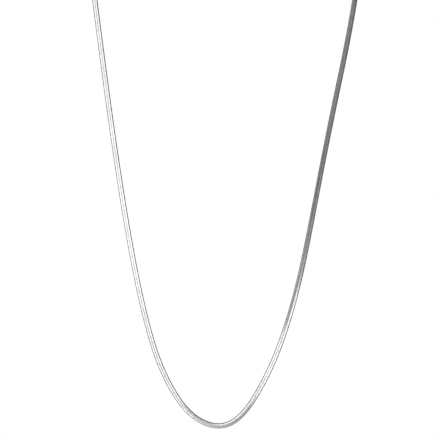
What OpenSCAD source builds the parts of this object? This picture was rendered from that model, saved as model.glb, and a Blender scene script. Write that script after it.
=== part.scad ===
// Flat herringbone neck chain, shown as it hangs round a neck: a narrow woven band whose two rows
// of slanted links meet along its middle, closed at the nape by a lobster claw.
// The origin is the middle of the neck at the height where the chain rests on it. +Z is up, the
// wearer faces -Y, and the two front arms hang in one upright plane.

/* [Whole chain] */
// Length round the whole necklace, the clasp included
chain_length = 609.6; // [575:0.1:760]
// Length of each front arm, from the lowest point up to the shoulder
arm_length = 174; // [120:1:185]
// Radius of the bend at the lowest point
bend_radius = 11.2; // [8:0.1:14]
// Angle of the straight stretch of an arm above the horizontal, in degrees
arm_angle = 82.9; // [80:0.1:86]
// How gradually the bend straightens into the arm, lower is more gradual
bend_settle = 1.53; // [1.3:0.01:3]
// How far the lowest point hangs to one side of the middle
bend_sway = 1.4; // [0:0.1:2]
// Height over which that sidestep fades
sway_height = 5.6; // [4:0.1:12]
// How far each arm's face has turned outwards at its top, in degrees
arm_turn = 10; // [0:1:30]
// Radius of the turn over each shoulder
shoulder_radius = 18; // [6:1:26]
// Outward tilt of the band's face at the nape, in degrees from straight up
nape_tilt = 45; // [15:1:80]

/* [Band] */
// Width of the band
band_w = 2.0; // [1.5:0.05:3]
// Thickness of the band
band_t = 0.7; // [0.6:0.05:1.2]
// Depth of the groove where the two rows meet, on each face
groove_depth = 0.07; // [0.02:0.01:0.15]
// Width of that groove
groove_w = 0.3; // [0.1:0.05:0.5]
// How far in from each edge the face starts to roll over
edge_roll = 0.35; // [0.1:0.05:0.5]

/* [End caps] */
// Length of band gripped in each cap
cap_grip = 2.5; // [1.5:0.1:4]
// Wall of the cap round the band
cap_wall = 0.3; // [0.2:0.05:0.5]
// Clearance between the band and the cap's pocket
cap_gap = 0.05; // [0.03:0.01:0.12]
// Thickness of the cap's eye plate
eye_plate_t = 0.7; // [0.5:0.05:1]
// Material left round the hole in that plate
eye_plate_rim = 0.5; // [0.35:0.05:0.8]

/* [Jump rings] */
// Wire diameter of the jump rings
ring_wire = 0.7; // [0.5:0.05:0.9]
// Diameter of a jump ring, to the middle of its wire
ring_d = 3.2; // [2.8:0.1:5]
// Clearance round the ring's wire in each eye
ring_gap = 0.25; // [0.15:0.01:0.4]

/* [Clasp] */
// Wire diameter of the claw's head
claw_wire = 1.3; // [1:0.05:1.6]
// How much slimmer than the head its spine is
spine_slim = 0.15; // [0.1:0.05:0.4]
// Width across the claw, to the middle of its wire
claw_w = 3.2; // [3:0.1:4.5]
// Distance from the clasp's eye to where the ring bears in the claw
claw_reach = 6.4; // [5.8:0.1:9]
// Diameter of the lever that closes the claw
lever_d = 0.9; // [0.7:0.05:1.2]
// How far the thumb tab's knob stands out from the middle of the lever
thumb_tab_l = 1.05; // [0.8:0.05:1.4]
// Diameter of that knob
thumb_tab_d = 0.8; // [0.65:0.05:1]
// Diameter of the stem that carries it
thumb_stem_d = 0.6; // [0.4:0.05:0.6]
// Wire diameter of the clasp's own eye
clasp_eye_wire = 0.7; // [0.5:0.05:1]

/* [Hidden] */
// Largest spacing of the band's rings in the bend and past it, and of the steps that trace the arm
bend_ring_step = 1.5;
ring_step = 3;
trace_step_max = 0.6;
// Slight waves of the two arms. Each row has the length at which a wave is deepest, negative on the
// wearer's right, how far it spreads, and how deep it goes towards the inside of the loop.
arm_waves = [
    [-20, 9, 0.45],
    [22, 10, 0.46],
    [63, 13, -0.24],
    [115, 24, 0.64],
    [163, 15, -0.29]
];
$fn = 40;

// The arm is traced from the lowest point. Its slope angle grows with the length s as
// arm_angle * u / (1 + u^settle)^(1/settle), where u = s / (bend_radius * arm_angle in radians).
trace_n = ceil(arm_length / trace_step_max);
trace_step = arm_length / trace_n;
bend_length = bend_radius * arm_angle * PI / 180;
function slope_at(s) =
    let (u = s / bend_length) arm_angle * u / pow(1 + pow(u, bend_settle), 1 / bend_settle);
arm_trace = [
    for (i = 0, x = 0, z = 0;
         i <= trace_n;
         x = x + trace_step * cos(slope_at((i + 0.5) * trace_step)),
         z = z + trace_step * sin(slope_at((i + 0.5) * trace_step)),
         i = i + 1)
    [x, z]
];

// Where an arm ends, and what is left for the run round the neck
end_slope = slope_at(arm_length);
arm_end = arm_trace[trace_n];
shoulder_run = shoulder_radius * PI / 2;
neck_radius = arm_end[0] + shoulder_radius * cos(end_slope);
nape_run = neck_radius * PI / 2;
side_run = chain_length / 2 - arm_length - shoulder_run - nape_run;
front_y = -(side_run + shoulder_radius);
low_z = -(arm_end[1] + shoulder_radius * sin(end_slope));

// Findings, laid out along the nape by their distance from its middle
eye_hole_d = ring_wire + 2 * ring_gap;
cap_end_wall = cap_wall + cap_gap;
eye_plate_d = eye_hole_d + 2 * eye_plate_rim;
ring_wire_at = claw_reach / 2;
ring_at = ring_wire_at + ring_d / 2;
cap_eye_at = ring_at + ring_d / 2;
cap_end_at = cap_eye_at + eye_hole_d / 2 + eye_plate_rim / 2;
band_end_at = cap_end_at + cap_end_wall;
half_band = chain_length / 2 - band_end_at;
// The face reaches its tilt at the nape where the cap takes hold of the band
lean_run = side_run + nape_run - band_end_at - cap_grip;

silver = [0.80, 0.81, 0.79];
polished = [0.86, 0.86, 0.85];

// A point of the route and the outward direction of the band's face there. s is the length from
// the lowest point, positive on the wearer's left, which is +X.
function sidestep(z) = bend_sway * exp(-z / sway_height);
function wave_depth(s) =
    let (depths = [for (wave = arm_waves)
             let (at = wave[0], spread = wave[1], depth = wave[2])
             depth * exp(-pow((s - at) / spread, 2) / 2)])
    depths * [for (depth = depths) 1];
function arm_point(s) =
    let (t = s / trace_step, i = min(floor(t), trace_n - 1), f = t - i,
         p = arm_trace[i] * (1 - f) + arm_trace[i + 1] * f)
    [p[0], front_y, low_z + p[1]];
function ease(share) = share * share * (3 - 2 * share);
function face(slope, turned, over) =
    cos(turned) * [sin(over) * cos(slope), -cos(over), sin(over) * sin(slope)]
    + sin(turned) * [sin(slope), 0, -cos(slope)];
function lean_out(heading, lean) =
    [sin(lean) * cos(heading), sin(lean) * sin(heading), cos(lean)];
function half_place(s) =
    let (past_arm = s - arm_length, past_turn = past_arm - shoulder_run,
         past_side = past_turn - side_run, k = ease(min(1, max(0, past_turn / lean_run))),
         lean = (90 - end_slope + arm_turn) * (1 - k) + nape_tilt * k)
    past_arm <= 0 ? [arm_point(s), face(slope_at(s), arm_turn * ease(s / arm_length), 0)] :
    past_turn <= 0 ?
        let (over = past_arm / shoulder_radius * 180 / PI, up = [cos(end_slope), 0, sin(end_slope)])
        [[arm_end[0], front_y, low_z + arm_end[1]] + shoulder_radius * sin(over) * up
             + [0, shoulder_radius * (1 - cos(over)), 0],
         face(end_slope, arm_turn, over)] :
    past_side <= 0 ? [[neck_radius, past_side, 0], lean_out(0, lean)] :
    let (heading = past_side / neck_radius * 180 / PI)
    [[neck_radius * cos(heading), neck_radius * sin(heading), 0], lean_out(heading, lean)];
function place(s) =
    let (half = half_place(abs(s)), side = s < 0 ? -1 : 1,
         step = abs(s) < arm_length ? sidestep(half[0][2] - low_z) : 0,
         slope = slope_at(min(abs(s), arm_length)),
         inwards = [-side * sin(slope), 0, cos(slope)])
    [[side * half[0][0] + step, half[0][1], half[0][2]] + wave_depth(s) * inwards,
     [side * half[1][0], half[1][1], half[1][2]]];

// The band's section, as [across, out], counter-clockwise from its outer edge: two flat rows, a
// groove between them on each face, and edges that roll over in a quarter of an ellipse.
quarter = [
    [band_w / 2 - edge_roll * (1 - cos(45)), band_t / 2 * sin(45)],
    [band_w / 2 - edge_roll, band_t / 2],
    [groove_w / 2, band_t / 2]
];
section = concat(
    [[band_w / 2, 0]],
    quarter,
    [[0, band_t / 2 - groove_depth]],
    [for (i = [2:-1:0]) [-quarter[i][0], quarter[i][1]]],
    [[-band_w / 2, 0]],
    [for (i = [0:2]) [-quarter[i][0], -quarter[i][1]]],
    [[0, groove_depth - band_t / 2]],
    [for (i = [2:-1:0]) [quarter[i][0], -quarter[i][1]]]
);

// One ring of the band at the length s: the section stood square to the route
function unit(v) = v / norm(v);
function band_ring(s) =
    let (h = trace_step / 2, here = place(s),
         along = unit(place(s + h)[0] - place(s - h)[0]),
         across = unit(cross(here[1], along)),
         out = cross(along, across))
    [for (q = section) here[0] + q[0] * across + q[1] * out];

module band() {
    // The lengths at which the rings stand, closer together in the bend
    bend_half = 3 * bend_length;
    bend_n = ceil(bend_half / bend_ring_step);
    rest_n = ceil((half_band - bend_half) / ring_step);
    marks = concat(
        [for (i = [0:bend_n - 1]) bend_half * i / bend_n],
        [for (i = [0:rest_n]) bend_half + (half_band - bend_half) * i / rest_n]
    );
    rings = concat(
        [for (i = [len(marks) - 1:-1:1]) band_ring(-marks[i])],
        [for (mark = marks) band_ring(mark)]
    );
    n = len(section);
    last = len(rings) - 1;
    walls = [
        for (i = [0:last - 1], j = [0:n - 1])
        let (a = i * n + j, b = i * n + (j + 1) % n)
        each [[a, a + n, b], [b, a + n, b + n]]
    ];
    ends = [[for (j = [0:n - 1]) j], [for (j = [n - 1:-1:0]) last * n + j]];
    polyhedron([for (ring = rings) each ring], concat(walls, ends));
}

// Stands its children on the nape: X runs along the chain, Z out of the band's face
module on_nape(along) {
    rotate([0, 0, -along / neck_radius * 180 / PI])
        translate([0, neck_radius, 0])
            rotate([-nape_tilt, 0, 0])
                children();
}

module chain() {
    color(silver) band();
}

// A flat tube with half-round edges, closed at its inner end, with a drilled eye plate. X = 0 is
// the middle of the grip, and the plate points to -X.
module end_cap() {
    outer_t = band_t + 2 * (cap_gap + cap_wall);
    outer_w = band_w + 2 * (cap_gap + cap_wall);
    shell_l = cap_grip + cap_end_wall;
    core_w = outer_w - outer_t;
    eye_x = cap_eye_at - band_end_at - cap_grip / 2;
    neck_l = abs(eye_x) - cap_grip / 2 - cap_wall;
    difference() {
        union() {
            translate([cap_grip / 2 - shell_l / 2, 0, 0])
                cube([shell_l, core_w, outer_t], center = true);
            for (side = [-1, 1])
                translate([cap_grip / 2 - shell_l, side * core_w / 2, 0])
                    rotate([0, 90, 0]) cylinder(d = outer_t, h = shell_l);
            translate([eye_x, -eye_plate_d / 2, -eye_plate_t / 2])
                cube([neck_l, eye_plate_d, eye_plate_t]);
            translate([eye_x, 0, -eye_plate_t / 2]) cylinder(d = eye_plate_d, h = eye_plate_t);
        }
        translate([-cap_grip / 2 - cap_gap, -band_w / 2 - cap_gap, -band_t / 2 - cap_gap])
            cube([cap_grip + cap_wall + cap_gap, band_w + 2 * cap_gap, band_t + 2 * cap_gap]);
        translate([eye_x, 0, -eye_plate_t]) cylinder(d = eye_hole_d, h = 2 * eye_plate_t);
    }
}

// The wearer's left is +X, where lengths along the nape are positive
module end_cap_left() {
    color(polished) on_nape(band_end_at + cap_grip / 2) end_cap();
}

module end_cap_right() {
    color(polished) on_nape(-band_end_at - cap_grip / 2) mirror([1, 0, 0]) end_cap();
}

// A closed round ring that stands across the band's face
module jump_ring() {
    rotate([90, 0, 0]) rotate_extrude() translate([ring_d / 2, 0]) circle(d = ring_wire);
}

module jump_ring_left() {
    color(polished) on_nape(ring_at) jump_ring();
}

module jump_ring_right() {
    color(polished) on_nape(-ring_at) jump_ring();
}

// A round bar from one point to another, in the plane of the claw
module claw_bar(from, to, d) {
    run = to - from;
    translate(from) rotate([0, 0, atan2(run[1], run[0])]) rotate([0, 90, 0]) cylinder(d = d, h = norm(run));
}

// The closed claw: an eye and a round head, with a spine and a slimmer lever that run from the
// head's ends to a throat beside the eye
module lobster_claw() {
    head_r = claw_w / 2;
    head_x = ring_wire_at - (head_r - claw_wire / 2 - ring_wire / 2 - ring_gap / 2);
    throat_d = claw_wire + clasp_eye_wire / 2;
    throat_x = -ring_wire_at + eye_hole_d / 2 + clasp_eye_wire / 2 + throat_d / 2;
    head = [head_x, 0, 0];
    throat = [throat_x, 0, 0];
    // Both bars run straight on from the head's arc, and start a little inside it
    spread = acos(head_r / (head_x - throat_x));
    run_on = [sin(spread), cos(spread), 0] * claw_wire / 4;
    spine_end = head + head_r * [-cos(spread), sin(spread), 0] + run_on;
    lever_end = [spine_end[0], -spine_end[1], 0];
    lever_middle = (lever_end + throat) / 2;
    knob = lever_middle - thumb_tab_l * [cos(spread), sin(spread), 0];
    translate(head) rotate([0, 0, spread - 180])
        rotate_extrude(angle = 360 - 2 * spread) translate([head_r, 0]) circle(d = claw_wire);
    claw_bar(spine_end, throat, claw_wire - spine_slim);
    claw_bar(lever_end, throat, lever_d);
    claw_bar(knob, lever_middle, thumb_stem_d);
    translate(knob) sphere(d = thumb_tab_d);
    translate(throat) sphere(d = throat_d);
    translate([-ring_wire_at, 0, 0])
        rotate_extrude() translate([(eye_hole_d + clasp_eye_wire) / 2, 0]) circle(d = clasp_eye_wire);
}

module clasp() {
    color(polished) on_nape(0) lobster_claw();
}

chain();
end_cap_left();
end_cap_right();
jump_ring_left();
jump_ring_right();
clasp();
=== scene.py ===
"""Finish of a flat herringbone neck chain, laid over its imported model.

The woven band is made of closed flattened links in two slanted rows, and each link stands where the
band's own route puts it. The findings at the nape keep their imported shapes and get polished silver.
All lengths are in metres, and angles are in degrees unless a name or a note says otherwise.
"""

import logging
import math
from dataclasses import dataclass, field
from enum import Enum

import bpy
import numpy as np
from mathutils import Matrix, Vector


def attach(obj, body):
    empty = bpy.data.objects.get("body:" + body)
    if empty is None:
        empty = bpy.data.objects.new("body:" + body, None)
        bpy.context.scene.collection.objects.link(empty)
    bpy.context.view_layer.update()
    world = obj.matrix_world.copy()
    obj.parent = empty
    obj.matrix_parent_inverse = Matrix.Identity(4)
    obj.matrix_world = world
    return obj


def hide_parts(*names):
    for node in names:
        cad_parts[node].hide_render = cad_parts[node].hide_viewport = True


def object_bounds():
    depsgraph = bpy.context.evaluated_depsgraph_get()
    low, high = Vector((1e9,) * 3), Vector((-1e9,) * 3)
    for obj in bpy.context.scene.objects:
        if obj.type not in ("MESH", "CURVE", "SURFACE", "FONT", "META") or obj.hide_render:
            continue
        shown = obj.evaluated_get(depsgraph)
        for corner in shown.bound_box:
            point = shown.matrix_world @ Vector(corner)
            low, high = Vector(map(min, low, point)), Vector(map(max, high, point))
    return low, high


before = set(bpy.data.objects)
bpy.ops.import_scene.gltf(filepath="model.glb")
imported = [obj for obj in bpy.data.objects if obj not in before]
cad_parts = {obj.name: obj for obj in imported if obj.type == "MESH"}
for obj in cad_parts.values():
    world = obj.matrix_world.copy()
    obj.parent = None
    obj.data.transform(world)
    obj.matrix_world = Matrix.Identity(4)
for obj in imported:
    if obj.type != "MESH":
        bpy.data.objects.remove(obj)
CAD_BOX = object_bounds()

MM = 0.001
BODY = "root"
log = logging.getLogger("herringbone_chain")

Array = np.ndarray
Pair = tuple[float, float]
Triple = tuple[float, float, float]
Colour = Triple
Socket = bpy.types.NodeSocket

WHITE: Colour = (1.0, 1.0, 1.0)


class Slot(Enum):
    """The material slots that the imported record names."""

    WOVEN = "woven_silver"
    POLISHED = "polished_silver"


class Row(Enum):
    """The two rows of links, by the side of the band's middle on which each one lies."""

    INNER = 1
    OUTER = -1


def ease(share: Array) -> Array:
    """Runs from 0 to 1 with level ends: three times the share squared less twice its cube."""
    clipped = np.clip(share, 0.0, 1.0)
    return clipped * clipped * (3 - 2 * clipped)


def unit(vectors: Array) -> Array:
    """Each row divided by its own length."""
    return vectors / np.linalg.norm(vectors, axis=-1, keepdims=True)


def outward(points: Array, quads: Array) -> bool:
    """Whether the faces of a closed surface look outwards.

    Each face adds the volume of two tetrahedra with the origin, and the sum is then positive.

    Args:
        points: the surface's vertices, one row each.
        quads: four vertex numbers for each face.

    Returns:
        True if the sum is positive.
    """
    a, b, c, d = (points[quads[:, i]] for i in range(4))
    volume = np.einsum("ij,ij->", a, np.cross(b, c)) + np.einsum("ij,ij->", a, np.cross(c, d))
    return bool(volume > 0)


def make_piece(name: str, points: Array, quads: Array, sharp_angle: float) -> bpy.types.Object:
    """Puts a closed surface of four-sided faces into a new object at the origin.

    Args:
        name: the piece's name.
        points: its vertices, one row each.
        quads: four vertex numbers for each face, in order round its outward side.
        sharp_angle: faces that meet at a greater angle keep a hard edge.

    Returns:
        The new object, linked to the scene.
    """
    mesh = bpy.data.meshes.new(name)
    mesh.vertices.add(len(points))
    mesh.vertices.foreach_set("co", points.astype(np.float32).ravel())
    mesh.loops.add(quads.size)
    mesh.loops.foreach_set("vertex_index", quads.astype(np.int32).ravel())
    mesh.polygons.add(len(quads))
    mesh.polygons.foreach_set("loop_start", np.arange(0, quads.size, 4, dtype=np.int32))
    mesh.polygons.foreach_set("use_smooth", np.ones(len(quads), dtype=bool))
    mesh.update(calc_edges=True)
    mesh.validate()
    mesh.set_sharp_from_angle(angle=math.radians(sharp_angle))
    piece = bpy.data.objects.new(name, mesh)
    bpy.context.scene.collection.objects.link(piece)
    return piece


def add_values(piece: bpy.types.Object, name: str, values: Array) -> None:
    """Stores one number for each vertex, for a material to read."""
    attribute = piece.data.attributes.new(name, "FLOAT", "POINT")
    attribute.data.foreach_set("value", values.astype(np.float32))


@dataclass(frozen=True)
class Twist:
    """A stretch of the band that lies turned a little about its own length.

    The turn fades on both sides of its middle as a bell curve. A positive angle turns the face
    towards the band's inner edge, and a positive fold leans the two rows back from each other.
    """

    middle: float
    spread: float
    angle: float
    fold: float = 0.0

    def at(self, s: Array, row: Row) -> Array:
        """A row's turn in radians: its angle times e to minus half the squared count of spreads."""
        angle = math.radians(self.angle + row.value * self.fold)
        return angle * np.exp(-0.5 * ((s - self.middle) / self.spread) ** 2)


@dataclass(frozen=True)
class Wave:
    """A slight bow of one arm towards the inside of the loop, or outwards if its depth is negative."""

    middle: float
    spread: float
    depth: float

    def at(self, s: Array) -> Array:
        """The bow's reach: its depth times e to minus half the squared count of spreads."""
        return self.depth * np.exp(-0.5 * ((s - self.middle) / self.spread) ** 2)


@dataclass
class Route:
    """The line that the middle of the band follows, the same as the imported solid's.

    Lengths along it, s, are measured from the lowest point and are positive on the wearer's left,
    which is +X. The arms hang in one upright plane, turn back over the shoulders, run straight to
    the sides of the neck and close in a half circle at the nape. The waves bow the line itself. The
    twists turn the rows of links about it, so that each stretch catches the light as it should.
    """

    chain_length: float = 609.6 * MM
    arm_length: float = 174.0 * MM
    bend_radius: float = 11.2 * MM
    arm_angle: float = 82.9
    bend_settle: float = 1.53
    bend_sway: float = 1.4 * MM
    sway_height: float = 5.6 * MM
    arm_turn: float = 10.0
    shoulder_radius: float = 18.0 * MM
    nape_tilt: float = 45.0
    band_end_at: float = 7.6 * MM
    cap_grip: float = 2.5 * MM
    trace_step: float = 0.1 * MM
    waves: tuple[Wave, ...] = (
        Wave(middle=-20 * MM, spread=9 * MM, depth=0.45 * MM),
        Wave(middle=22 * MM, spread=10 * MM, depth=0.46 * MM),
        Wave(middle=63 * MM, spread=13 * MM, depth=-0.24 * MM),
        Wave(middle=115 * MM, spread=24 * MM, depth=0.64 * MM),
        Wave(middle=163 * MM, spread=15 * MM, depth=-0.29 * MM),
    )
    twists: tuple[Twist, ...] = (
        Twist(middle=-5 * MM, spread=8 * MM, angle=1.0, fold=4.5),
        Twist(middle=8 * MM, spread=7 * MM, angle=-2.5, fold=5.0),
        Twist(middle=38 * MM, spread=12 * MM, angle=5.0),
        Twist(middle=60 * MM, spread=8 * MM, angle=0.0, fold=-4.0),
        Twist(middle=100 * MM, spread=22 * MM, angle=-9.5, fold=-5.0),
        Twist(middle=158 * MM, spread=24 * MM, angle=-2.0, fold=-5.0),
    )

    def __post_init__(self) -> None:
        """Traces one arm and works out where each stretch begins.

        The trace adds up steps along the slope at the middle of each one.
        """
        steps = math.ceil(self.arm_length / self.trace_step)
        self.marks = np.linspace(0.0, self.arm_length, steps + 1)
        slopes = self.slope((self.marks[1:] + self.marks[:-1]) / 2)
        step = self.arm_length / steps
        self.trace_x = np.concatenate([[0.0], np.cumsum(np.cos(slopes) * step)])
        self.trace_z = np.concatenate([[0.0], np.cumsum(np.sin(slopes) * step)])
        self.end_slope = float(self.slope(np.array([self.arm_length]))[0])
        self.neck_radius = self.trace_x[-1] + self.shoulder_radius * math.cos(self.end_slope)
        shoulder_run = self.shoulder_radius * math.pi / 2
        nape_run = self.neck_radius * math.pi / 2
        self.side_run = self.chain_length / 2 - self.arm_length - shoulder_run - nape_run
        self.turn_end = self.arm_length + shoulder_run
        self.front_y = -(self.side_run + self.shoulder_radius)
        self.low_z = -(self.trace_z[-1] + self.shoulder_radius * math.sin(self.end_slope))
        self.half_band = self.chain_length / 2 - self.band_end_at
        self.lean_run = self.side_run + nape_run - self.band_end_at - self.cap_grip

    def slope(self, s: Array) -> Array:
        """Slope of an arm at the length s from the lowest point.

        It is the arm's angle times u over (1 + u to the power settle) to the power one over settle,
        where u is s over the bend's length.

        Args:
            s: lengths from the lowest point, none below zero.

        Returns:
            The slope at each length, in radians.
        """
        straight = math.radians(self.arm_angle)
        u = s / (self.bend_radius * straight)
        return straight * u / (1 + u**self.bend_settle) ** (1 / self.bend_settle)

    def front_half(self, s: Array) -> tuple[Array, Array]:
        """Points of the +X arm and of its turn over the shoulder, and the way that the face looks.

        Up to the shoulder the point lies on the traced arm. Then it goes round an arc in the plane
        of the arm's last slope and +Y, and past that it stays at the arc's end. The face turns a
        little outwards up the arm, and over backwards with the arc.

        Args:
            s: lengths from the lowest point, none below zero.

        Returns:
            Two arrays with a row for each length: the point and the face's outward direction.
        """
        on_arm = np.minimum(s, self.arm_length)
        slope = self.slope(on_arm)
        turned = math.radians(self.arm_turn) * ease(on_arm / self.arm_length)
        over = np.clip((s - self.arm_length) / self.shoulder_radius, 0.0, math.pi / 2)
        up = self.shoulder_radius * np.sin(over)
        arm_x = np.interp(on_arm, self.marks, self.trace_x)
        arm_z = np.interp(on_arm, self.marks, self.trace_z)
        points = [
            arm_x + up * math.cos(self.end_slope),
            self.front_y + self.shoulder_radius * (1 - np.cos(over)),
            self.low_z + arm_z + up * math.sin(self.end_slope),
        ]
        faces = [
            np.cos(turned) * np.sin(over) * np.cos(slope) + np.sin(turned) * np.sin(slope),
            -np.cos(turned) * np.cos(over),
            np.cos(turned) * np.sin(over) * np.sin(slope) - np.sin(turned) * np.cos(slope),
        ]
        return np.stack(points, axis=-1), np.stack(faces, axis=-1)

    def back_half(self, past_turn: Array) -> tuple[Array, Array]:
        """Points of the +X side and half nape, and the way that the band's face looks there.

        The line runs straight back, and then round the half circle, whose heading is the length
        gone round it over its radius. The face eases from its lean at the shoulder to the nape's.

        Args:
            past_turn: lengths from the end of the shoulder's turn.

        Returns:
            Two arrays with a row for each length: the point and the face's outward direction.
        """
        past_side = past_turn - self.side_run
        heading = np.maximum(past_side, 0.0) / self.neck_radius
        points = [
            self.neck_radius * np.cos(heading),
            self.neck_radius * np.sin(heading) + np.minimum(past_side, 0.0),
            np.zeros_like(past_turn),
        ]
        leaning = ease(past_turn / self.lean_run)
        first_lean = math.pi / 2 - self.end_slope + math.radians(self.arm_turn)
        lean = first_lean * (1 - leaning) + math.radians(self.nape_tilt) * leaning
        faces = [np.sin(lean) * np.cos(heading), np.sin(lean) * np.sin(heading), np.cos(lean)]
        return np.stack(points, axis=-1), np.stack(faces, axis=-1)

    def place(self, s: Array) -> tuple[Array, Array]:
        """Points and face directions for signed lengths, the -X half being the other's mirror image.

        On the arms both sides also step sideways by the sway times e to the minus height over the
        height in which it fades. The waves carry the point square to the arm's slope, inwards.

        Args:
            s: signed lengths from the lowest point.

        Returns:
            Two arrays with a row for each length: the point and the face's outward direction.
        """
        from_low = np.abs(s)
        front_points, front_faces = self.front_half(from_low)
        back_points, back_faces = self.back_half(from_low - self.turn_end)
        behind = (from_low > self.turn_end)[:, None]
        points = np.where(behind, back_points, front_points)
        faces = np.where(behind, back_faces, front_faces)
        side = np.where(s < 0, -1.0, 1.0)
        sway = self.bend_sway * np.exp(-(points[:, 2] - self.low_z) / self.sway_height)
        slope = self.slope(np.minimum(from_low, self.arm_length))
        bow = sum((wave.at(s) for wave in self.waves), np.zeros_like(s))
        points[:, 0] = side * points[:, 0] + np.where(from_low < self.arm_length, sway, 0.0)
        points[:, 0] -= bow * side * np.sin(slope)
        points[:, 2] += bow * np.cos(slope)
        faces[:, 0] *= side
        return points, faces

    def frames(self, s: Array, row: Row) -> tuple[Array, Array, Array, Array]:
        """Where the band is at each signed length, and how a row of its section stands there.

        The direction along the band is the difference of two near points, the direction across is
        square to it and to the face, and the third is square to both. The twists then turn the last
        two about the first.

        Args:
            s: signed lengths from the lowest point.
            row: the row whose section is asked for.

        Returns:
            Four arrays of rows: the point, along the band, across it to its inner edge, and out.
        """
        near = self.trace_step
        points, faces = self.place(s)
        along = unit(self.place(s + near)[0] - self.place(s - near)[0])
        across = unit(np.cross(faces, along))
        out = np.cross(along, across)
        turn = sum((twist.at(s, row) for twist in self.twists), np.zeros_like(s))[:, None]
        turned_out = np.cos(turn) * out + np.sin(turn) * across
        turned_across = np.cos(turn) * across - np.sin(turn) * out
        return points, along, turned_across, turned_out


@dataclass(frozen=True)
class Link:
    """One closed link of flattened wire, which lies across half of the band.

    Its outline, looking along the band, is flat on both faces. It goes round the band's rolled edge
    and dips at the middle, where its narrow end passes between two ends of the other row.
    """

    reach: float = 1.0 * MM
    past_middle: float = 0.10 * MM
    thickness: float = 0.7 * MM
    edge_roll: float = 0.30 * MM
    tip_roll: float = 0.10 * MM
    edge_steps: int = 5
    tip_steps: int = 3
    groove_run: float = 0.18 * MM
    groove_lean: float = 7.0
    flat_margin: float = 0.04 * MM
    wire_depth: float = 0.28 * MM
    root_share: float = 0.90
    width: float = 0.58 * MM
    tip_width: float = 0.31 * MM
    tip_run: float = 0.35 * MM
    slant: float = 22.0
    # Painted shade, with dullness, round the rolled edge and down in the gaps between links.
    edge_shade: float = 1.0
    gap_shade: float = 0.45

    @property
    def middle(self) -> float:
        """Distance of the link's own middle from the band's middle."""
        return (self.reach - self.past_middle) / 2

    @staticmethod
    def rounded_end(
        middle: float, roll: float, height: float, first_angle: float, steps: int
    ) -> tuple[Array, Array]:
        """Half an ellipse round one end of the outline.

        The point at the angle t lies at the roll times the cosine of t from the middle, and at the
        height times the sine of t.

        Args:
            middle: where the ellipse has its middle, across the band.
            roll: its reach across the band.
            height: its reach out from the band's middle plane.
            first_angle: the angle in radians at which it starts.
            steps: how many steps it takes to the other side.

        Returns:
            Two arrays of rows: the points, across and out, and the outward directions there.
        """
        angle = first_angle + math.pi * np.arange(steps + 1) / steps
        points = np.stack([middle + roll * np.cos(angle), height * np.sin(angle)], axis=-1)
        return points, unit(np.stack([np.cos(angle) / roll, np.sin(angle) / height], axis=-1))

    def outline(self) -> tuple[Array, Array]:
        """The link's outline, from below its edge round by its upper face, tip and lower face.

        Both faces are flat between the two rounded ends, apart from the groove's side, which falls
        towards the middle by its run times the tangent of its lean. One more point near each end of
        the flat keeps its shading flat.

        Returns:
            Two arrays of rows: places across and out, and outward directions there.
        """
        half_t = self.thickness / 2
        tip = self.tip_roll - self.past_middle
        fall = math.tan(math.radians(self.groove_lean))
        tip_height = half_t - fall * (self.groove_run - tip)
        edge = self.reach - self.edge_roll
        edge_end = self.rounded_end(edge, self.edge_roll, half_t, -math.pi / 2, self.edge_steps)
        tip_end = self.rounded_end(tip, self.tip_roll, tip_height, math.pi / 2, self.tip_steps)
        before_edge = [[edge - self.flat_margin, -half_t]]
        before_tip = [
            [self.groove_run + self.flat_margin, half_t],
            [self.groove_run, half_t],
            [tip + self.flat_margin, tip_height + fall * self.flat_margin],
        ]
        points, normals = [], []
        for (end, way), flat in ((edge_end, before_edge), (tip_end, before_tip)):
            before = np.array(flat)
            after = before[::-1] * [1.0, -1.0]
            points += [before, end, after]
            normals += [np.repeat(way[:1], len(before), axis=0), way]
            normals += [np.repeat(way[-1:], len(after), axis=0)]
        return np.concatenate(points), np.concatenate(normals)

    def points(self) -> tuple[Array, Array]:
        """The link's vertices round its own middle, and how much painted shade and dullness each one
        has.

        The wire's section, a flat that narrows to its root, hangs inwards from the outline along
        its normal. The link's width eases from its tip's to its own, and its points shift along the
        band by minus their distance from its middle times the tangent of the slant. Painted shade
        darkens the silver down in the gaps, and round the edge as far as it leans out there, and the
        same number makes it duller.

        Returns:
            An array of steps by four by three, along, across and out, and one of steps by four.
        """
        outline, normal = self.outline()
        side = np.array([-1.0, 1.0, self.root_share, -self.root_share]) / 2
        depth = np.array([0.0, 0.0, self.wire_depth, self.wire_depth])
        own_width = ease(outline[:, 0] / self.tip_run)
        width = self.tip_width + (self.width - self.tip_width) * own_width
        section = outline[:, None, :] - depth[None, :, None] * normal[:, None, :]
        from_middle = outline[:, None, 0] - self.middle
        shift = from_middle * math.tan(math.radians(self.slant))
        along = side[None, :] * width[:, None] - shift
        points = np.concatenate([along[..., None], section - [self.middle, 0.0]], axis=-1)
        # Painted shade: darker round the edge as far as it leans out, and down the wire's depth in the
        # gaps.
        round_edge = self.edge_shade * np.clip(normal[:, :1], 0.0, 1.0)
        return points, np.maximum(self.gap_shade * depth / self.wire_depth, round_edge)

    def quads(self) -> Array:
        """The faces over the grid of the link's vertices, which is closed both ways.

        Returns:
            Four vertex numbers for each face, in order round its outward side.
        """
        points, shade_and_dullness = self.points()
        steps, corners = shade_and_dullness.shape
        step, corner = np.meshgrid(np.arange(steps), np.arange(corners), indexing="ij")
        next_step = (step + 1) % steps
        next_corner = (corner + 1) % corners
        ring = [(step, corner), (step, next_corner), (next_step, next_corner), (next_step, corner)]
        faces = np.stack([row * corners + column for row, column in ring], axis=-1).reshape(-1, 4)
        return faces if outward(points.reshape(-1, 3), faces) else faces[:, ::-1]


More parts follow.
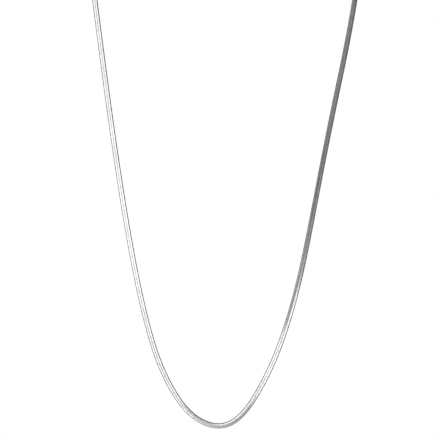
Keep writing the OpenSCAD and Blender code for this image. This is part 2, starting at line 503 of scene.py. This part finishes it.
class NodeTree:
    """A Principled material under construction, with one short method for each kind of node."""

    def __init__(self, name: str, metallic: float) -> None:
        """Starts a material that holds one Principled shader.

        Args:
            name: the material's name.
            metallic: 1 for a metal and 0 for anything else.
        """
        self.material = bpy.data.materials.new(name)
        self.material.use_nodes = True
        self.nodes = self.material.node_tree.nodes
        self.links = self.material.node_tree.links
        self.shader = self.nodes["Principled BSDF"]
        self.shader.inputs["Metallic"].default_value = metallic

    def shader_input(self, name: str, socket: Socket) -> None:
        """Joins a socket to the shader's input of that name."""
        self.links.new(socket, self.shader.inputs[name])

    def object_place(self) -> Socket:
        """The point's own Object coordinates."""
        return self.nodes.new("ShaderNodeTexCoord").outputs["Object"]

    def attribute(self, name: str) -> Socket:
        """Reads the number stored at each vertex under a name.

        Args:
            name: the name that it was stored under.

        Returns:
            The socket that gives the number.
        """
        node = self.nodes.new("ShaderNodeAttribute")
        node.attribute_name = name
        return node.outputs["Fac"]

    def stretched(self, place: Socket, scale: Triple) -> Socket:
        """Scales coordinates by their own factor each way.

        Args:
            place: the coordinates.
            scale: the factor along X, Y and Z.

        Returns:
            The socket that gives the scaled coordinates.
        """
        node = self.nodes.new("ShaderNodeMapping")
        node.inputs["Scale"].default_value = scale
        self.links.new(place, node.inputs["Vector"])
        return node.outputs["Vector"]

    def noise(self, place: Socket, scale: float, detail: float) -> Socket:
        """Makes cloudy noise from 0 to 1.

        Args:
            place: the coordinates that it is laid out on.
            scale: how many clouds there are in a metre.
            detail: how many times finer clouds are laid over them.

        Returns:
            The socket that gives the noise.
        """
        node = self.nodes.new("ShaderNodeTexNoise")
        node.inputs["Scale"].default_value = scale
        node.inputs["Detail"].default_value = detail
        self.links.new(place, node.inputs["Vector"])
        return node.outputs["Fac"]

    def map_range(self, value: Socket, source: Pair, target: Pair) -> Socket:
        """Carries a number from one range to another, and holds it at its ends.

        Args:
            value: the number.
            source: the range that it comes from.
            target: the range that it goes to.

        Returns:
            The socket that gives the new number.
        """
        node = self.nodes.new("ShaderNodeMapRange")
        for name, number in zip(("From Min", "From Max", "To Min", "To Max"), source + target):
            node.inputs[name].default_value = number
        self.links.new(value, node.inputs["Value"])
        return node.outputs["Result"]

    def add(self, first: Socket, second: Socket, weight: float) -> Socket:
        """Adds the second number times its weight to the first.

        Args:
            first: the first number.
            second: the second number.
            weight: what the second is multiplied by.

        Returns:
            The socket that gives the sum.
        """
        node = self.nodes.new("ShaderNodeMath")
        node.operation = "MULTIPLY_ADD"
        self.links.new(second, node.inputs[0])
        node.inputs[1].default_value = weight
        self.links.new(first, node.inputs[2])
        return node.outputs["Value"]

    def mix_colour(self, share: Socket, first: Colour, second: Colour) -> Socket:
        """Mixes two colours.

        Args:
            share: how much of the second there is, from 0 to 1.
            first: the first colour.
            second: the second colour.

        Returns:
            The socket that gives the mixed colour.
        """
        node = self.nodes.new("ShaderNodeMix")
        node.data_type = "RGBA"
        for socket, colour in zip([s for s in node.inputs if s.type == "RGBA"], (first, second)):
            socket.default_value = (*colour, 1.0)
        self.links.new(share, node.inputs["Factor"])
        return next(s for s in node.outputs if s.type == "RGBA")

    def shaded(self, colour: Socket, level: Socket) -> Socket:
        """Makes a colour darker.

        Args:
            colour: the colour.
            level: what it is multiplied by, from 0 to 1.

        Returns:
            The socket that gives the darker colour.
        """
        node = self.nodes.new("ShaderNodeVectorMath")
        node.operation = "SCALE"
        self.links.new(colour, node.inputs[0])
        self.links.new(level, node.inputs["Scale"])
        return node.outputs["Vector"]

    def bump(self, height: Socket, strength: float, distance: float) -> None:
        """Shades the surface as if it were raised.

        Args:
            height: how far up it is at each place, from 0 to 1.
            strength: how strongly it shows.
            distance: the height in metres that 1 stands for.
        """
        node = self.nodes.new("ShaderNodeBump")
        node.inputs["Strength"].default_value = strength
        node.inputs["Distance"].default_value = distance
        self.links.new(height, node.inputs["Height"])
        self.links.new(node.outputs["Normal"], self.shader.inputs["Normal"])


@dataclass(frozen=True)
class WovenSilver:
    """Bright silver of the links, polished on the face, dull and with painted shade in the gaps and
    round the edge.
    """

    bright: Colour = (0.93, 0.935, 0.905)
    # Grey of the painted shade in the gaps and round the edge.
    painted_shade: Colour = (0.30, 0.31, 0.29)
    shade_and_dullness_span: Pair = (0.05, 0.75)
    dull_roughness: float = 0.06
    smoothest: float = 0.13
    roughest: float = 0.24
    rough_span: Pair = (0.3, 0.9)
    darkest_shade: float = 0.93
    shade_span: Pair = (0.2, 1.0)
    tone_weight: float = 0.5
    patch_scale: float = 160.0
    patch_detail: float = 3.0
    scratch_scale: float = 5200.0
    scratch_detail: float = 2.0
    scratch_strength: float = 0.05
    scratch_height: float = 0.02 * MM

    def material(self) -> bpy.types.Material:
        """Builds the node material.

        The colour goes from bright to the painted shade grey with the painted shade and dullness
        stored at each vertex, which also adds roughness. Patches of faint haze and each link's own
        tone darken it a little and change the roughness. Fine scratches are a bump.

        Returns:
            The finished material.
        """
        tree = NodeTree("woven_silver", metallic=1.0)
        place = tree.object_place()
        shade_and_dullness = tree.map_range(tree.attribute("shade_and_dullness"), self.shade_and_dullness_span, (0.0, 1.0))
        haze = tree.noise(place, self.patch_scale, self.patch_detail)
        uneven = tree.add(haze, tree.attribute("tone"), self.tone_weight)
        shade = tree.map_range(uneven, self.shade_span, (1.0, self.darkest_shade))
        # Painted shade: the colour darkens to the grey in the gaps and round the edge.
        colour = tree.mix_colour(shade_and_dullness, self.bright, self.painted_shade)
        tree.shader_input("Base Color", tree.shaded(colour, shade))
        rough = tree.map_range(uneven, self.rough_span, (self.smoothest, self.roughest))
        tree.shader_input("Roughness", tree.add(rough, shade_and_dullness, self.dull_roughness))
        scratches = tree.noise(place, self.scratch_scale, self.scratch_detail)
        tree.bump(scratches, self.scratch_strength, self.scratch_height)
        return tree.material


@dataclass(frozen=True)
class PolishedSilver:
    """Cast and polished silver of the findings, with faint haze and hairline scratches."""

    bright: Colour = (0.93, 0.935, 0.91)
    haze_shade: float = 0.94
    smoothest: float = 0.07
    roughest: float = 0.20
    rough_span: Pair = (0.3, 0.75)
    patch_scale: float = 420.0
    patch_detail: float = 4.0
    scratch_scale: float = 2600.0
    scratch_detail: float = 3.0
    scratch_stretch: Triple = (1.0, 9.0, 9.0)
    scratch_strength: float = 0.06
    scratch_height: float = 0.02 * MM

    def material(self) -> bpy.types.Material:
        """Builds the node material: one colour with faint patches, and scratches drawn out one way.

        Returns:
            The finished material.
        """
        tree = NodeTree("polished_silver", metallic=1.0)
        place = tree.object_place()
        haze = tree.noise(place, self.patch_scale, self.patch_detail)
        hazed = tuple(self.haze_shade * part for part in self.bright)
        tree.shader_input("Base Color", tree.mix_colour(haze, self.bright, hazed))
        rough = tree.map_range(haze, self.rough_span, (self.smoothest, self.roughest))
        tree.shader_input("Roughness", rough)
        stretched = tree.stretched(place, self.scratch_stretch)
        scratches = tree.noise(stretched, self.scratch_scale, self.scratch_detail)
        tree.bump(scratches, self.scratch_strength, self.scratch_height)
        return tree.material


@dataclass(frozen=True)
class PaleFloorPaint:
    """Matt pale paint with a faint mottle. It glows, so that the lights leave no patches on it."""

    colour: Colour = (0.16, 0.16, 0.158)
    mottle_shade: float = 0.97
    mottle_scale: float = 6.0
    mottle_detail: float = 2.0
    roughness: float = 0.8
    glow: float = 0.9

    def material(self) -> bpy.types.Material:
        """Builds the node material: a colour with cloudy patches, and an even white glow.

        Returns:
            The finished material.
        """
        tree = NodeTree("pale_floor", metallic=0.0)
        mottle = tree.noise(tree.object_place(), self.mottle_scale, self.mottle_detail)
        mottled = tuple(self.mottle_shade * part for part in self.colour)
        tree.shader_input("Base Color", tree.mix_colour(mottle, self.colour, mottled))
        tree.shader.inputs["Roughness"].default_value = self.roughness
        tree.shader.inputs["Emission Color"].default_value = (*WHITE, 1.0)
        tree.shader.inputs["Emission Strength"].default_value = self.glow
        return tree.material


@dataclass(frozen=True)
class RowOfLinks:
    """Links of one row as they stand along the band, each with its own tone."""

    row: Row
    places: Array
    points: Array
    tones: Array

    def between(self, low: float, high: float) -> "RowOfLinks":
        """Those of its links whose middles lie in a stretch of the band."""
        here = (self.places >= low) & (self.places < high)
        return RowOfLinks(self.row, self.places[here], self.points[here], self.tones[here])


@dataclass
class WovenBand:
    """The two rows of slanted links that make the flat chain, in four lengths of it."""

    route: Route
    link: Link = field(default_factory=Link)
    finish: WovenSilver = field(default_factory=WovenSilver)
    pitch: float = 0.62 * MM
    end_clearance: float = 0.75 * MM
    side_tilt: float = 0.5
    pitch_tilt: float = 0.4
    tilt_limit: float = 2.0
    seed: int = 7
    sharp_angle: float = 65.0
    lengths: tuple[str, ...] = (
        "woven_nape_right", "woven_front_right", "woven_front_left", "woven_nape_left"
    )

    def build(self) -> None:
        """Makes the links of both rows, and joins them into the lengths of band."""
        rng = np.random.default_rng(self.seed)
        rows = [self.row_links(row, rng) for row in Row]
        material = self.finish.material()
        cuts = np.linspace(-self.route.half_band, self.route.half_band, len(self.lengths) + 1)
        for name, low, high in zip(self.lengths, cuts[:-1], cuts[1:]):
            self.build_length(name, [links.between(low, high) for links in rows], material)

    def row_links(self, row: Row, rng: np.random.Generator) -> RowOfLinks:
        """Places the links of a row, each one tilted a little by chance and with its own tone.

        Args:
            row: the row to make.
            rng: where the chance comes from.

        Returns:
            The row's links.
        """
        places = self.row_places(row)
        spreads = np.radians([self.side_tilt, self.pitch_tilt])
        chances = np.clip(rng.normal(size=(len(places), 2)), -self.tilt_limit, self.tilt_limit)
        tones = rng.random(len(places))
        return RowOfLinks(row, places, self.row_points(places, row, chances * spreads), tones)

    def row_places(self, row: Row) -> Array:
        """Where along the band the links of a row have their middles.

        The whole number of pitches that fits between the two ends is centred, and the outer row
        stands half a pitch on.

        Args:
            row: the row asked for.

        Returns:
            Signed lengths from the lowest point, one for each link.
        """
        room = self.route.half_band - self.end_clearance
        count = math.floor(room / self.pitch)
        places = self.pitch * np.arange(-count, count + 1)
        return places + (self.pitch / 2 if row is Row.OUTER else 0.0)

    def row_points(self, places: Array, row: Row, tilts: Array) -> Array:
        """The vertices of one row's links.

        Each link is tilted by its own two angles and stood as a rigid body in the band's frame at
        its middle: the point plus its own three distances along, across and out.

        Args:
            places: the lengths along the band of the links' middles.
            row: the row that they belong to, which mirrors them across the band.
            tilts: two small angles in radians for each link, about the band's length and across it.

        Returns:
            An array of links by vertices by three.
        """
        along, across, out = self.link.points()[0].reshape(-1, 3).T
        roll, pitch = tilts[:, :1], tilts[:, 1:]
        lifted = out + roll * across + pitch * along
        moved_across = across - roll * out
        moved_along = along - pitch * out
        distance = row.value * (self.link.middle + moved_across)
        middle, ahead, sideways, outwards = (v[:, None, :] for v in self.route.frames(places, row))
        return (
            middle
            + moved_along[..., None] * ahead
            + distance[..., None] * sideways
            + lifted[..., None] * outwards
        )

    def build_length(self, name: str, rows: list[RowOfLinks], material: bpy.types.Material) -> None:
        """Args:
            name: the piece's name.
            rows: the links of both rows that lie in the stretch.
            material: the finish that they share.
        """
        quads = self.link.quads()
        shade_and_dullness = self.link.points()[1].ravel()
        size = len(shade_and_dullness)
        points = np.concatenate([links.points.reshape(-1, 3) for links in rows])
        tones = np.concatenate([np.repeat(links.tones, size) for links in rows])
        faces = []
        first = 0
        for links in rows:
            starts = first + size * np.arange(len(links.places))
            turned = quads if links.row is Row.INNER else quads[:, ::-1]
            faces.append((starts[:, None, None] + turned).reshape(-1, 4))
            first += size * len(links.places)
        piece = make_piece(name, points, np.concatenate(faces), self.sharp_angle)
        # Painted shade and dullness at each vertex, in the gaps and round the edge, for the material.
        add_values(piece, "shade_and_dullness", np.tile(shade_and_dullness, first // size))
        add_values(piece, "tone", tones)
        piece.data.materials.append(material)
        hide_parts("chain")
        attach(piece, BODY)
        log.info("%s: %d links, %d faces", name, first // size, len(piece.data.polygons))


@dataclass
class Findings:
    """The end caps, jump rings and clasp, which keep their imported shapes."""

    finish: PolishedSilver = field(default_factory=PolishedSilver)
    names: tuple[str, ...] = (
        "end_cap_left", "end_cap_right", "jump_ring_left", "jump_ring_right", "clasp"
    )

    def dress(self) -> None:
        """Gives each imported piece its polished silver."""
        material = self.finish.material()
        for name in self.names:
            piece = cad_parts[name]
            piece.data.materials.clear()
            piece.data.materials.append(material)
            log.info("%s: packed shape, %d faces", name, len(piece.data.polygons))


@dataclass(frozen=True)
class SoftBox:
    """A flat studio light, given by where it is seen from the chain and by how bright it looks.

    Its heading is counted from straight in front of the chain, towards the wearer's left.
    """

    name: str
    heading: float
    height_angle: float
    size: Pair
    distance: float
    brightness: float

    def build(self, target: Vector) -> None:
        """Adds the light, turned to the target and unseen by the camera itself.

        A flat light's power is pi times its area times the brightness that it shows.

        Args:
            target: the point that it faces.
        """
        heading, up = math.radians(self.heading), math.radians(self.height_angle)
        level = math.cos(up)
        way = Vector((math.sin(heading) * level, -math.cos(heading) * level, math.sin(up)))
        data = bpy.data.lights.new(self.name, "AREA")
        data.shape = "RECTANGLE"
        data.size, data.size_y = self.size
        data.energy = math.pi * self.size[0] * self.size[1] * self.brightness
        light = bpy.data.objects.new(self.name, data)
        light.location = target + way * self.distance
        light.rotation_mode = "QUATERNION"
        light.rotation_quaternion = way.to_track_quat("Z", "Y")
        light.visible_camera = False
        bpy.context.scene.collection.objects.link(light)
        log.info("light %s", self.name)


@dataclass
class Studio:
    """Pale floor, white surroundings and soft lights round the hanging chain."""

    target: Vector
    floor_drop: float = 1.7
    floor_radius: float = 12.0
    floor_sides: int = 96
    floor_paint: PaleFloorPaint = field(default_factory=PaleFloorPaint)
    surround_dim: Colour = (0.083, 0.095, 0.087)
    boxes: tuple[SoftBox, ...] = (
        SoftBox("key_box", -18.0, -1.5, size=(1.75, 0.95), distance=2.4, brightness=1.2),
        SoftBox("upper_fill", -10.0, 30.0, size=(2.4, 1.0), distance=2.4, brightness=0.12),
        SoftBox("lower_fill", -10.0, -25.0, size=(2.4, 0.8), distance=1.0, brightness=0.18),
        SoftBox("low_front_box", -14.0, -37.0, size=(1.9, 0.75), distance=2.0, brightness=0.6),
        SoftBox("under_box", 0.0, -65.0, size=(2.4, 1.0), distance=1.0, brightness=0.5),
        SoftBox("back_box", 180.0, -6.0, size=(2.2, 1.3), distance=2.2, brightness=0.85),
        SoftBox("back_left_box", 118.0, -6.0, size=(1.3, 1.3), distance=2.2, brightness=0.6),
        SoftBox("back_right_box", 242.0, -6.0, size=(1.3, 1.3), distance=2.2, brightness=0.6),
        SoftBox("top_box", 180.0, 72.0, size=(2.0, 1.2), distance=1.8, brightness=0.7),
    )

    def build(self) -> None:
        """Makes the floor, the surroundings and the lights."""
        self.build_floor()
        self.build_surroundings()
        for box in self.boxes:
            box.build(self.target)

    def build_floor(self) -> None:
        """Lays a flat round floor under the chain, which shows in no reflection.

        The point of its rim at the angle t lies at the radius times the cosine and the sine of t.
        """
        angle = 2 * math.pi * np.arange(self.floor_sides) / self.floor_sides
        rim = np.stack([np.cos(angle), np.sin(angle), np.zeros_like(angle)], axis=-1)
        rim = rim * self.floor_radius + [0.0, 0.0, self.target.z - self.floor_drop]
        mesh = bpy.data.meshes.new("floor")
        mesh.from_pydata(rim.tolist(), [], [list(range(self.floor_sides))])
        mesh.materials.append(self.floor_paint.material())
        floor = bpy.data.objects.new("floor", mesh)
        floor.visible_glossy = False
        bpy.context.scene.collection.objects.link(floor)

    def build_surroundings(self) -> None:
        """Sets white behind the chain, and dim all round it as far as its own reflections go."""
        world = bpy.data.worlds.new("studio")
        world.use_nodes = True
        bpy.context.scene.world = world
        nodes, links = world.node_tree.nodes, world.node_tree.links
        nodes.clear()
        path = nodes.new("ShaderNodeLightPath")
        seen = nodes.new("ShaderNodeBackground")
        seen.inputs["Color"].default_value = (*WHITE, 1.0)
        dim = nodes.new("ShaderNodeBackground")
        dim.inputs["Color"].default_value = (*self.surround_dim, 1.0)
        mixed = nodes.new("ShaderNodeMixShader")
        output = nodes.new("ShaderNodeOutputWorld")
        links.new(path.outputs["Is Camera Ray"], mixed.inputs["Fac"])
        links.new(dim.outputs["Background"], mixed.inputs[1])
        links.new(seen.outputs["Background"], mixed.inputs[2])
        links.new(mixed.outputs["Shader"], output.inputs["Surface"])


@dataclass(frozen=True)
class PhotoView:
    """A camera far enough off to see the chain as flat as the photograph shows it."""

    middle_x: float = 0.40 * MM
    middle_z: float = -101.45 * MM
    frame_height: float = 165.24 * MM
    distance: float = 1.2
    roll: float = 1.35
    sensor: float = 36.0
    nearest_seen: float = 0.01
    farthest_seen: float = 20.0

    def build(self, front_y: float) -> None:
        """Adds the camera, level and looking along +Y, rolled a little about its own line of sight.

        Its lens is the sensor's width times the distance over the height of the frame there.

        Args:
            front_y: the plane in which the arms hang.
        """
        data = bpy.data.cameras.new("photo_view")
        data.sensor_width = self.sensor
        data.lens = self.sensor * self.distance / self.frame_height
        data.clip_start = self.nearest_seen
        data.clip_end = self.farthest_seen
        camera = bpy.data.objects.new("photo_view", data)
        level = Matrix.Rotation(math.pi / 2, 4, "X")
        rolled = Matrix.Rotation(-math.radians(self.roll), 4, "Y")
        place = Matrix.Translation((self.middle_x, front_y - self.distance, self.middle_z))
        camera.matrix_world = place @ rolled @ level
        bpy.context.scene.collection.objects.link(camera)
        bpy.context.scene.camera = camera


def set_colours() -> None:
    """Shows the light as it is, with no film look laid over it."""
    view = bpy.context.scene.view_settings
    view.view_transform = "Standard"
    view.look = "None"
    view.exposure = 0.0
    view.gamma = 1.0


def main() -> None:
    """Builds, dresses and reports each piece, and then the studio round them."""
    route = Route()
    PhotoView().build(route.front_y)
    WovenBand(route).build()
    Findings().dress()
    target = Vector((0.0, route.front_y, (CAD_BOX[0].z + CAD_BOX[1].z) / 2))
    Studio(target).build()
    set_colours()


if __name__ == "__main__":
    logging.basicConfig(level=logging.INFO, format="%(message)s")
    main()
